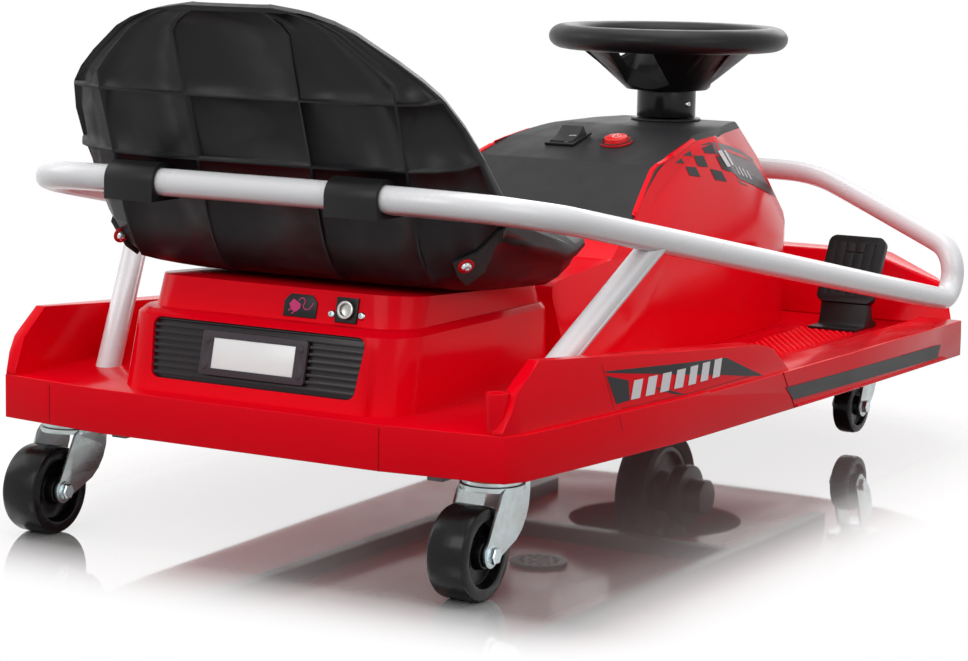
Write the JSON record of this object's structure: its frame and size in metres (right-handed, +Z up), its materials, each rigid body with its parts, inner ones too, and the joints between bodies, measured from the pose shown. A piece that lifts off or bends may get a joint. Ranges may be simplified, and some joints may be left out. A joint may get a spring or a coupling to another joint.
{
  "type": "electric drift kart",
  "caption": "Ride-on electric drift kart with bucket seat, guard rail, turning front drive wheel and swivel casters.",
  "frame": {"origin": "centre of the bounding box at floor level, with the steering straight and the casters trailing", "axes": "+X forward, +Y to the driver's left, +Z up"},
  "size_m": [1.052, 0.644, 0.4876],
  "materials": {
    "body_red": "gloss red",
    "cover_black": "satin black",
    "button_red": "gloss red",
    "trim_black": "fine grained black",
    "frame_grey": "satin dark grey",
    "socket_metal": "nickel",
    "plate_white": "smooth white",
    "seat_black": "satin black",
    "wheel_black": "satin black",
    "belt_black": "woven webbing",
    "rail_white": "gloss white powder coat",
    "frame_steel": "grey paint",
    "zinc": "bright zinc plate",
    "caster_black": "smooth black",
    "drive_rubber": "treaded rubber",
    "rim_grey": "dark grey",
    "motor_dark": "black paint"
  },
  "bodies": {
    "chassis": {"body_floor": "body_red", "front_bumper": "body_red", "wing_left": "body_red", "wing_right": "body_red", "seat_base": "body_red", "rear_grille": "trim_black", "plate_frame": "frame_grey", "blank_plate": "plate_white", "charge_panel": "trim_black", "charge_socket": "socket_metal", "flag_socket": "body_red", "console_shell": "body_red", "console_cover": "cover_black", "rocker_switch": "trim_black", "power_button": "button_red", "seat_shell": "seat_black", "seat_clamp_left": "trim_black", "seat_clamp_right": "trim_black", "belt_left": "belt_black", "belt_right": "belt_black", "guard_rail": "rail_white", "guard_post_left": "rail_white", "guard_post_right": "rail_white", "underframe": "frame_steel", "speaker_grille": "trim_black", "column_collar": "trim_black", "pedal_left": "trim_black", "pedal_right": "trim_black", "caster_plates": "zinc"},
    "steering": {"steering_wheel": "wheel_black", "steering_column": "frame_steel", "drive_fork": "frame_steel", "drive_motor": "motor_dark"},
    "drive_wheel": {"drive_tyre": "drive_rubber", "drive_rim": "rim_grey"},
    "caster_rear_left": {"fork_rear_left": "zinc"},
    "caster_wheel_rear_left": {"wheel_rear_left": "caster_black"},
    "caster_rear_right": {"fork_rear_right": "zinc"},
    "caster_wheel_rear_right": {"wheel_rear_right": "caster_black"},
    "caster_front_left": {"fork_front_left": "zinc"},
    "caster_wheel_front_left": {"wheel_front_left": "caster_black"},
    "caster_front_right": {"fork_front_right": "zinc"},
    "caster_wheel_front_right": {"wheel_front_right": "caster_black"}
  },
  "joints": [
    {"name": "steer", "type": "hinge", "parent": "chassis", "child": "steering", "pos_m": [0.311, 0, 0.3], "axis": [0, 0, 1], "range_deg": [-90, 90]},
    {"name": "drive_spin", "type": "hinge", "parent": "steering", "child": "drive_wheel", "pos_m": [0.311, 0, 0.072], "axis": [0, 1, 0], "continuous": true},
    {"name": "swivel_rear_left", "type": "hinge", "parent": "chassis", "child": "caster_rear_left", "pos_m": [-0.448, 0.224, 0.09], "axis": [0, 0, 1], "continuous": true},
    {"name": "roll_rear_left", "type": "hinge", "parent": "caster_rear_left", "child": "caster_wheel_rear_left", "pos_m": [-0.486, 0.224, 0.04], "axis": [0, 1, 0], "continuous": true},
    {"name": "swivel_rear_right", "type": "hinge", "parent": "chassis", "child": "caster_rear_right", "pos_m": [-0.448, -0.224, 0.09], "axis": [0, 0, 1], "continuous": true},
    {"name": "roll_rear_right", "type": "hinge", "parent": "caster_rear_right", "child": "caster_wheel_rear_right", "pos_m": [-0.486, -0.224, 0.04], "axis": [0, 1, 0], "continuous": true},
    {"name": "swivel_front_left", "type": "hinge", "parent": "chassis", "child": "caster_front_left", "pos_m": [0.37, 0.214, 0.09], "axis": [0, 0, 1], "continuous": true},
    {"name": "roll_front_left", "type": "hinge", "parent": "caster_front_left", "child": "caster_wheel_front_left", "pos_m": [0.35, 0.214, 0.043], "axis": [0, 1, 0], "continuous": true},
    {"name": "swivel_front_right", "type": "hinge", "parent": "chassis", "child": "caster_front_right", "pos_m": [0.37, -0.214, 0.09], "axis": [0, 0, 1], "continuous": true},
    {"name": "roll_front_right", "type": "hinge", "parent": "caster_front_right", "child": "caster_wheel_front_right", "pos_m": [0.35, -0.214, 0.043], "axis": [0, 1, 0], "continuous": true}
  ]
}
